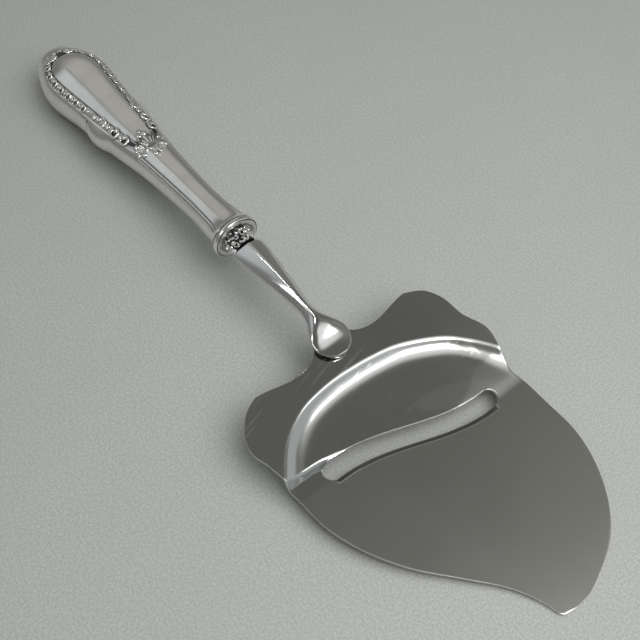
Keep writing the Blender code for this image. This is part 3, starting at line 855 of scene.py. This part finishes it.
def steel_finish(name, colour, roughness, wear, scratched=0.0):
    """Polished stainless steel with faint smears and hair-fine scratches; painted shade and painted dark
    reflections near black, and satin, by attributes.
    """
    mat, shader, spot = finish(name, 1.0, roughness)
    dark = spot.attribute("tarnish_and_shade")
    satin_and_reflection = spot.attribute("satin_and_reflection")
    smear = spot.noise(38, detail=5, roughness=0.6).ease(0.3, 0.75)
    fine = spot.noise(2600, detail=2, roughness=0.6, stretch=(33, 1, 1), turn=(0, 0, 0.35))
    cross = spot.noise(2200, detail=2, roughness=0.6, stretch=(1, 33, 1), turn=(0, 0, -0.5))
    hair = fine.ease(0.58, 0.74) + cross.ease(0.60, 0.76)
    long_lines = spot.noise(1700, detail=0, roughness=0.5, stretch=(1, 45, 1), turn=(0, 0, 0.28))
    worn_patch = spot.noise(45, detail=1, roughness=0.5).ease(0.50, 0.60)
    scratch = long_lines.ease(0.745, 0.785) * worn_patch * (1 - satin_and_reflection)
    paler = [min(1.0, part * SMEAR_PALER) for part in colour]
    # the warmer satin colour: the tongue's satin finish, and a painted brownish reflection on the lip
    clean = satin_and_reflection.blend(smear.blend((*colour, 1), (*paler, 1)), SATIN_AND_REFLECTION_STEEL)
    dulled = roughness + 0.02 * smear + wear * hair + scratched * scratch
    # painted shade: near black where the darkness attribute is high
    feed(shader, Base_Color=dark.blend(clean, PAINTED_SHADE_STEEL), Roughness=dulled + 0.07 * satin_and_reflection + 0.15 * dark)
    return mat


collar_steel = steel_finish("collar_steel", (0.92, 0.92, 0.91), roughness=0.13, wear=0.02)
new_piece("beaded_knob", beaded_knob(collar_steel), collar_steel, "neck_collar")
for motif in list(motif_group.objects):
    bpy.data.objects.remove(motif)
bpy.data.collections.remove(motif_group)

# Shank: one steel forging, with a flat-cut shoulder, a ridged bar that narrows and bends down, and a
# round paddle at its end, domed on top and spot welded to the blade. Its tang is hidden in the handle.
SHOULDER_X, SHOULDER_Z = 102.397, 14.80
SHANK_REACH, SHANK_LEAD = 35.6, 0.42  # shoulder to paddle, and the share that runs on straight
PADDLE_RADIUS = 5.45
PADDLE_TILT = math.radians(6.7)
PADDLE_Z = 12.97
SHANK_END = SHANK_REACH + PADDLE_RADIUS
SHANK_WIDTHS = [  # along from the shoulder, half width
    (0, 4.2), (0.5, 4.6), (4, 4.4), (10, 3.75), (17, 2.95), (22.5, 2.32), (26, 2.25), (28.6, 2.75),
    (30.6, 3.7), (32.6, 4.75), (34.2, 5.26)]
SHANK_HEIGHTS = [  # along, ridge over the path, shoulder of the roof, drop under it
    (0, 2.35, 0.2, 1.7), (8, 2.4, 0.15, 1.65), (16, 2.4, 0.15, 1.55), (23, 2.35, 0.2, 1.35),
    (27.5, 2.5, 0.4, 1.2), (30, 2.5, 0.6, 1.2), (32, 2.25, 0.65, 1.2), (34, 1.7, 0.65, 1.2),
    (36, 1.05, 0.6, 1.25), (38, 0.66, 0.5, 1.25), (41.1, 0.55, 0.5, 1.25)]
SHANK_BELLY = [  # one side under the eave: share of the half width, of the height or drop
    (1.0, 0.7), (1.0, 0.35), (1.0, 0.0), (0.97, -0.3), (0.9, -0.6), (0.8, -0.85), (0.6, -1.0), (0.3, -1.0)]
RIDGE_FLAT, RIDGE_SHARE = 0.26, 0.1  # half width of the flat along the ridge, at most this share
LEAST_HALF, PADDLE_TIP = 0.05, 0.02  # least half widths that are worked with
ROOF_SLOPE, ROOF_HOLLOW = 0.6, 2.5  # share of the roof's fall that is even, and the power of the rest
DOME_POWER, DOME_SPREAD = 3.2, (26.5, 33.0)
CHAMFER, CHAMFER_ROWS, CHAMFER_LOW = 0.5, 4, 0.9  # along, rows, and share of the height at the cut end
BAR_ROWS, PADDLE_START, PADDLE_ROWS, EAVE_COLUMNS = 170, 34.0, 40, 25
RIM_ROUND = 0.30
UNDER_SHADE = (29.0, 33.0)  # along: where painted shade darkens the sides and underside at the paddle
SHANK_CREASE = 38
shank_width = tabled(SHANK_WIDTHS)
shank_height = tabled(SHANK_HEIGHTS)


def shank_path(along):
    """Height of the shank's middle, from the climbing shoulder down onto the paddle's plane."""
    lead = SHANK_REACH * SHANK_LEAD
    points = ((0, SHOULDER_Z), (lead * math.cos(HANDLE_PITCH), SHOULDER_Z + lead * math.sin(HANDLE_PITCH)),
              (SHANK_REACH - lead * math.cos(PADDLE_TILT), PADDLE_Z + lead * math.sin(PADDLE_TILT)),
              (SHANK_REACH, PADDLE_Z))
    if along > SHANK_REACH:
        return PADDLE_Z - (along - SHANK_REACH) * math.tan(PADDLE_TILT)
    low, high = 0.0, 1.0
    for _ in range(30):
        t = (low + high) / 2
        weights = ((1 - t) ** 3, 3 * t * (1 - t) ** 2, 3 * t * t * (1 - t), t ** 3)
        if sum(w * p[0] for w, p in zip(weights, points)) < along:
            low = t
        else:
            high = t
    return sum(w * p[1] for w, p in zip(weights, points))


def shank_half_width(along):
    """Half width of the bar, and past it of the round paddle."""
    if along > SHANK_WIDTHS[-1][0]:
        return math.sqrt(max(0.0, PADDLE_RADIUS ** 2 - (along - SHANK_REACH) ** 2))
    return shank_width(along)[0]


def shank_top(along, y, half):
    """Height of the top over the path: a roof with a narrow ridge, which spreads into the paddle's dome."""
    ridge, eave, _ = shank_height(along)
    share = max(0.0, abs(y) - RIDGE_FLAT) / max(half - RIDGE_FLAT, LEAST_HALF)
    roof = ridge + (eave - ridge) * (ROOF_SLOPE * share + (1 - ROOF_SLOPE) * share ** ROOF_HOLLOW)
    dome = ridge + (eave - ridge) * abs(y / max(half, LEAST_HALF)) ** DOME_POWER
    return roof + (dome - roof) * smooth(*DOME_SPREAD, along)


def quarter_wave(count):
    """Shares from 0 to 1 that crowd together towards 1."""
    return [math.sin(math.pi / 2 * i / count) for i in range(count + 1)]


def forge_shank():
    """The shank as one loft of closed sections from the shoulder to the paddle's front."""
    bm = bmesh.new()
    dark = bm.verts.layers.float.new("tarnish_and_shade")
    rows = stretch(0, CHAMFER, CHAMFER_ROWS) + stretch(CHAMFER, PADDLE_START, BAR_ROWS)
    rows += [PADDLE_START + (SHANK_END - PADDLE_START) * share for share in quarter_wave(PADDLE_ROWS)]
    eaves = quarter_wave(EAVE_COLUMNS)
    across = [(-1, share) for share in reversed(eaves)] + [(0, 0)] + [(1, share) for share in eaves]
    under = SHANK_BELLY + [(0.0, -1.0)] + [(-share, level) for share, level in reversed(SHANK_BELLY)]
    rings = []
    for along in rows:
        half = max(shank_half_width(along), PADDLE_TIP)
        flat = min(RIDGE_FLAT, RIDGE_SHARE * half)
        drop = shank_height(along)[2]
        full = CHAMFER_LOW + (1 - CHAMFER_LOW) * smooth(0.0, CHAMFER, along)
        section = []
        for hand, share in across:
            y = hand * (flat + (half - flat) * share)
            rim = min(half - abs(y), SHANK_END - along)
            round_off = RIM_ROUND * (1 - min(1.0, rim / RIM_ROUND)) ** 2
            section.append((y, shank_top(along, y, half) * full - round_off))
        eave = section[-1][1]
        section += [(share * half, level * (eave if level > 0 else drop)) for share, level in under]
        x, z = SHOULDER_X + along + AXIS_X, shank_path(along)
        rings.append([bm.verts.new((x * MM, (y + AXIS_Y) * MM, (z + level) * MM)) for y, level in section])
        # painted shade: the sides and underside turn near black towards the paddle
        for vert in rings[-1][len(across):]:
            vert[dark] = smooth(*UNDER_SHADE, along)
    loft(bm, rings)
    bmesh.ops.recalc_face_normals(bm, faces=bm.faces)
    return as_mesh(bm, "forged_shank", SHANK_CREASE)


shank_steel = steel_finish("shank_steel", (0.74, 0.74, 0.735), roughness=0.10, wear=0.03)
shank = new_piece("forged_shank", forge_shank(), shank_steel, "shank")
ridge_lit = bpy.data.collections.new("ridge_lit")
ridge_lit.objects.link(shank)
ridge_lamp = glints[-1]
ridge_lamp.light_linking.receiver_collection = ridge_lit

# Blade: one pressed sheet of stainless steel, with two ears, an arch pressed into them, a slanting slot
# whose front edge is ground sharp, and a pointed tongue that lies lower. It is welded under the paddle.
PADDLE_X = SHOULDER_X + SHANK_REACH
PADDLE_INSET = 0.5  # the paddle's centre behind the ears' rear edge
BLADE_X = PADDLE_X + PADDLE_INSET
BLADE_LENGTH = 87.1
BLADE_HALF_WIDTH = 36.3
TIP_X = BLADE_X + BLADE_LENGTH
BLADE_SHEET = 1.0
TONGUE_PITCH = math.radians(4.2)
EAR_PITCH = math.radians(6.7)
TONGUE_DROP = 2.8
ARCH_LINE = [  # the pressed arch's rear line: across, along
    (-37, 166.0), (-31.2, 158.2), (-25.9, 152.6), (-18.4, 148.4), (-11.3, 146.85), (-3.8, 146.45),
    (5.8, 147.15), (14.6, 149.0), (24.5, 153.7), (30.2, 158.6), (35.1, 164.6), (38, 169.0)]
ARCH_DEPTH = 1.8
ARCH_BEND, ARCH_SLOPE, ARCH_BOWL = 0.7, 0.6, 6.3  # runs of the sharp bend, the slope and the soft bowl
ARCH_STEP = 0.2  # across, to tell how far the rear line slants
BEND_LINE = [  # across, then the knots where the drop to the tongue starts and ends
    (-40, 5.35, 6.0), (-25, 5.35, 6.0), (-19, 5.7, 6.6), (-12, 6.05, 6.95), (0, 6.05, 6.95),
    (12, 6.05, 6.95), (20, 5.6, 6.9), (27, 5.0, 6.88), (40, 5.0, 6.85)]
BEND_POWER = 1.5
REAR_VALLEY, REAR_TAB, TAB_HALF_WIDTH, REAR_KNOTS = 1.9, 5.2, 5.1, 3
TIP_ROUND = 8.8
SLOT_RADIUS = 2.35
SLOT_LEFT, SLOT_RIGHT = 23.6, 26.4
SLOT_WAVE = 0.32  # share of the width, each way, over which a row sweeps forward
GROUND_EDGE, EDGE_LEFT = 1.3, 0.16  # width of the ground bevel, and the thickness left at its edge
GROUND_SHADE, GROUND_FROM = 0.72, 0.45  # how dark the bevel is painted, a painted dark reflection, and the height under which it starts
SATIN_FADE = 0.25  # knots before the cut over which the polish turns satin
DULL_REFLECTION_SPOT, DULL_REFLECTION_RUN, DULL_REFLECTION_SIZE = (168.0, 17.0), (0.32, 0.947), (11.7, 3.3)  # an oval on the lip, duller and with a painted brownish reflection
DULL_REFLECTION_STRENGTH, DULL_REFLECTION_EDGE = 0.8, (0.8, 1.1)
RIM_WIDTH, RIM_SEGMENTS, RIM_ANGLE = 0.08, 2, 50
LIP_KNOT, CUT_KNOT = 6, 7  # the edge points between which the slot lies
LEFT_EDGE = [  # share of the length from the ears, share of the half width
    (0.007, 0.703), (0.031, 0.819), (0.083, 0.923), (0.137, 0.959), (0.189, 0.925), (0.242, 0.900),
    (0.271, 0.899), (0.324, 0.886), (0.418, 0.861), (0.529, 0.766), (0.641, 0.605), (0.746, 0.386),
    (0.840, 0.191), (0.917, 0.084), (0.982, 0.033)]
RIGHT_EDGE = [
    (0.000, 0.690), (0.028, 0.822), (0.083, 0.901), (0.160, 0.928), (0.237, 1.000), (0.310, 0.971),
    (0.379, 0.937), (0.433, 0.963), (0.523, 0.973), (0.635, 0.979), (0.746, 0.912), (0.852, 0.768),
    (0.932, 0.565), (0.986, 0.288), (0.997, 0.128)]
KNOTS = len(LEFT_EDGE) - 1
REAR_ROWS, SLOT_ROWS, TONGUE_ROWS = 84, 16, 60
EDGE_STEP, EDGE_ROWS, EDGE_RUN = 0.02, 15, 0.3  # the close rows over the ground edge, in knots
NECK_COLUMNS, SLOT_COLUMNS = 22, 120
NARROW_HALF, NECK_SHARE = 30, 0.72  # the half width under which the columns draw in, and how far
arch_place = tabled(ARCH_LINE)
bend_knots = tabled(BEND_LINE)


def blade_edges(knot):
    """The blade's left and right edge points on the row at this knot."""
    lx, ly = spline(LEFT_EDGE, knot)
    rx, ry = spline(RIGHT_EDGE, knot)
    return ((BLADE_X + lx * BLADE_LENGTH, -ly * BLADE_HALF_WIDTH),
            (BLADE_X + rx * BLADE_LENGTH, ry * BLADE_HALF_WIDTH))


def pressed_arch(run):
    """Share of the arch's depth at a distance past its rear line: sharp bend, slope, soft bowl."""
    full = ARCH_BEND / 2 + ARCH_SLOPE + ARCH_BOWL / 3
    if run <= 0:
        return 0.0
    if run < ARCH_BEND:
        return run * run / (2 * ARCH_BEND) / full
    if run < ARCH_BEND + ARCH_SLOPE:
        return (run - ARCH_BEND / 2) / full
    left = max(0.0, 1 - (run - ARCH_BEND - ARCH_SLOPE) / ARCH_BOWL)
    return 1.0 - ARCH_BOWL / 3 * left ** 3 / full


def blade_point(knot, y):
    """A point of the sheet's middle surface on the row at this knot."""
    left, right = blade_edges(knot)
    across = (y - left[1]) / (right[1] - left[1])
    wave = 0.5 + 0.5 * math.sin(math.pi / 2 * min(1.0, max(-1.0, (across - 0.5) / SLOT_WAVE)))
    x = left[0] + (right[0] - left[0]) * wave
    ear = abs(left[1]) if y < 0 else right[1]
    valley = REAR_VALLEY * (1 - math.cos(2 * math.pi * abs(y) / ear)) / 2
    tab = REAR_TAB * bell(y, TAB_HALF_WIDTH)
    x += (valley - tab) * max(0.0, 1 - knot / REAR_KNOTS) ** 2
    x += TIP_ROUND * across * (1 - across) ** 3 * max(0.0, knot - KNOTS + 1) ** 2
    bend_left, bend_right = blade_edges(CUT_KNOT)
    bend_x = (bend_left[0] + bend_right[0]) / 2
    tongue = BLADE_SHEET / 2 + (TIP_X - x) * math.tan(TONGUE_PITCH)
    ears = (BLADE_SHEET / 2 + (TIP_X - bend_x) * math.tan(TONGUE_PITCH) + TONGUE_DROP
            + (bend_x - x) * math.tan(EAR_PITCH))
    start, end = bend_knots(y)
    down = min(1.0, max(0.0, (knot - start) / (end - start))) ** BEND_POWER
    arch_x = arch_place(y)[0]
    slant = (arch_place(y + ARCH_STEP)[0] - arch_place(y - ARCH_STEP)[0]) / (2 * ARCH_STEP)
    upper = ears - ARCH_DEPTH * pressed_arch((x - arch_x) / math.hypot(1, slant))
    return x, y, upper + (tongue - upper) * down


def blade_rows():
    """Knots of the sheet's rows: behind the lip, over the slot's width, and out to the tip."""
    behind = stretch(0, LIP_KNOT, REAR_ROWS)
    over = [LIP_KNOT + (1 - math.cos(math.pi * i / SLOT_ROWS)) / 2 for i in range(SLOT_ROWS + 1)]
    front = [CUT_KNOT + EDGE_STEP * i for i in range(1, EDGE_ROWS + 1)]
    front += [CUT_KNOT + (EDGE_RUN + (KNOTS - CUT_KNOT - EDGE_RUN) * i / TONGUE_ROWS)
              for i in range(1, TONGUE_ROWS + 1)]
    return behind + over + front


def blade_line(knot, bulge):
    """Places across a row: left neck, slot's span and right neck; bulge is for the slot's round ends."""
    left, right = [edge[1] for edge in blade_edges(knot)]
    narrow = min(1.0, min(-left, right) / NARROW_HALF)
    a = max((-SLOT_LEFT + SLOT_RADIUS) * narrow, left * NECK_SHARE) - bulge
    b = min((SLOT_RIGHT - SLOT_RADIUS) * narrow, right * NECK_SHARE) + bulge
    line = stretch(left, a, NECK_COLUMNS)
    line += [a + bulge + (b - a - 2 * bulge) * j / SLOT_COLUMNS for j in range(SLOT_COLUMNS + 1)]
    if bulge:
        line[NECK_COLUMNS], line[-1] = a, b
    return line + [b + (right - b) * j / NECK_COLUMNS for j in range(1, NECK_COLUMNS + 1)]


def dull_reflection(x, y):
    """How strong the oval by the slot's right end is at a place, from 0 to 1: duller there, with a painted
    brownish reflection.
    """
    x, y = x - DULL_REFLECTION_SPOT[0], y - DULL_REFLECTION_SPOT[1]
    run = (x * DULL_REFLECTION_RUN[0] + y * DULL_REFLECTION_RUN[1]) / DULL_REFLECTION_SIZE[0]
    over = (x * DULL_REFLECTION_RUN[1] - y * DULL_REFLECTION_RUN[0]) / DULL_REFLECTION_SIZE[1]
    return DULL_REFLECTION_STRENGTH * (1 - smooth(*DULL_REFLECTION_EDGE, math.hypot(run, over)))


def press_blade():
    """The blade as a closed sheet: a grid over both necks and the slot's span, with the slot left open."""
    rows = blade_rows()
    first, last = REAR_ROWS, REAR_ROWS + SLOT_ROWS
    slot = range(NECK_COLUMNS, NECK_COLUMNS + SLOT_COLUMNS)
    bm = bmesh.new()
    grid = []
    for i, knot in enumerate(rows):
        bulge = SLOT_RADIUS * math.sin(math.pi * (i - first) / SLOT_ROWS) if first <= i <= last else 0.0
        grid.append([bm.verts.new(blade_point(knot, y)) for y in blade_line(knot, bulge)])
    cut_x = [vert.co.x for vert in grid[last]]
    for i in range(len(rows) - 1):
        for j in range(len(grid[0]) - 1):
            if not (first <= i < last and j in slot):
                bm.faces.new((grid[i][j], grid[i + 1][j], grid[i + 1][j + 1], grid[i][j + 1]))
    loose = [vert for vert in bm.verts if not vert.link_faces]
    bmesh.ops.delete(bm, geom=loose, context='VERTS')
    bm.normal_update()
    solid = bmesh.new()
    dark = solid.verts.layers.float.new("tarnish_and_shade")
    satin_and_reflection = solid.verts.layers.float.new("satin_and_reflection")
    tops, bottoms = {}, {}
    for i, line in enumerate(grid):
        for j, vert in enumerate(line):
            if not vert.is_valid:
                continue
            up = vert.normal if vert.normal.z > 0 else -vert.normal
            rise = BLADE_SHEET / 2
            if i >= last and slot.start <= j <= slot.stop:
                ground = 1 - min(1.0, (vert.co.x - cut_x[j]) / GROUND_EDGE)
                rise -= (BLADE_SHEET - EDGE_LEFT) * ground
            for side, store in ((rise, tops), (-BLADE_SHEET / 2, bottoms)):
                x, y, z = vert.co + up * side
                copy = solid.verts.new(((x + AXIS_X) * MM, (y + AXIS_Y) * MM, z * MM))
                # painted dark reflection on the ground bevel of the cutting edge
                copy[dark] = GROUND_SHADE if side < GROUND_FROM and store is tops else 0.0
                # satin: the tongue's satin finish, and the oval on the lip with its painted brownish
                # reflection
                copy[satin_and_reflection] = max(smooth(CUT_KNOT - SATIN_FADE, CUT_KNOT, rows[i]), dull_reflection(x, y))
                store[vert] = copy
    for face in bm.faces:
        solid.faces.new([tops[vert] for vert in face.verts])
        solid.faces.new([bottoms[vert] for vert in reversed(face.verts)])
    for edge in bm.edges:
        if len(edge.link_faces) == 1:
            a, b = edge.verts
            solid.faces.new((tops[a], tops[b], bottoms[b], bottoms[a]))
    bm.free()
    bmesh.ops.recalc_face_normals(solid, faces=solid.faces)
    return as_mesh(solid, "pressed_blade")


blade_steel = steel_finish("blade_steel", (0.66, 0.668, 0.655), roughness=0.13, wear=0.02, scratched=0.10)
blade = new_piece("pressed_blade", press_blade(), blade_steel, "blade")
rim = blade.modifiers.new("rim", 'BEVEL')
rim.width = RIM_WIDTH * MM
rim.segments = RIM_SEGMENTS
rim.limit_method = 'ANGLE'
rim.angle_limit = math.radians(RIM_ANGLE)
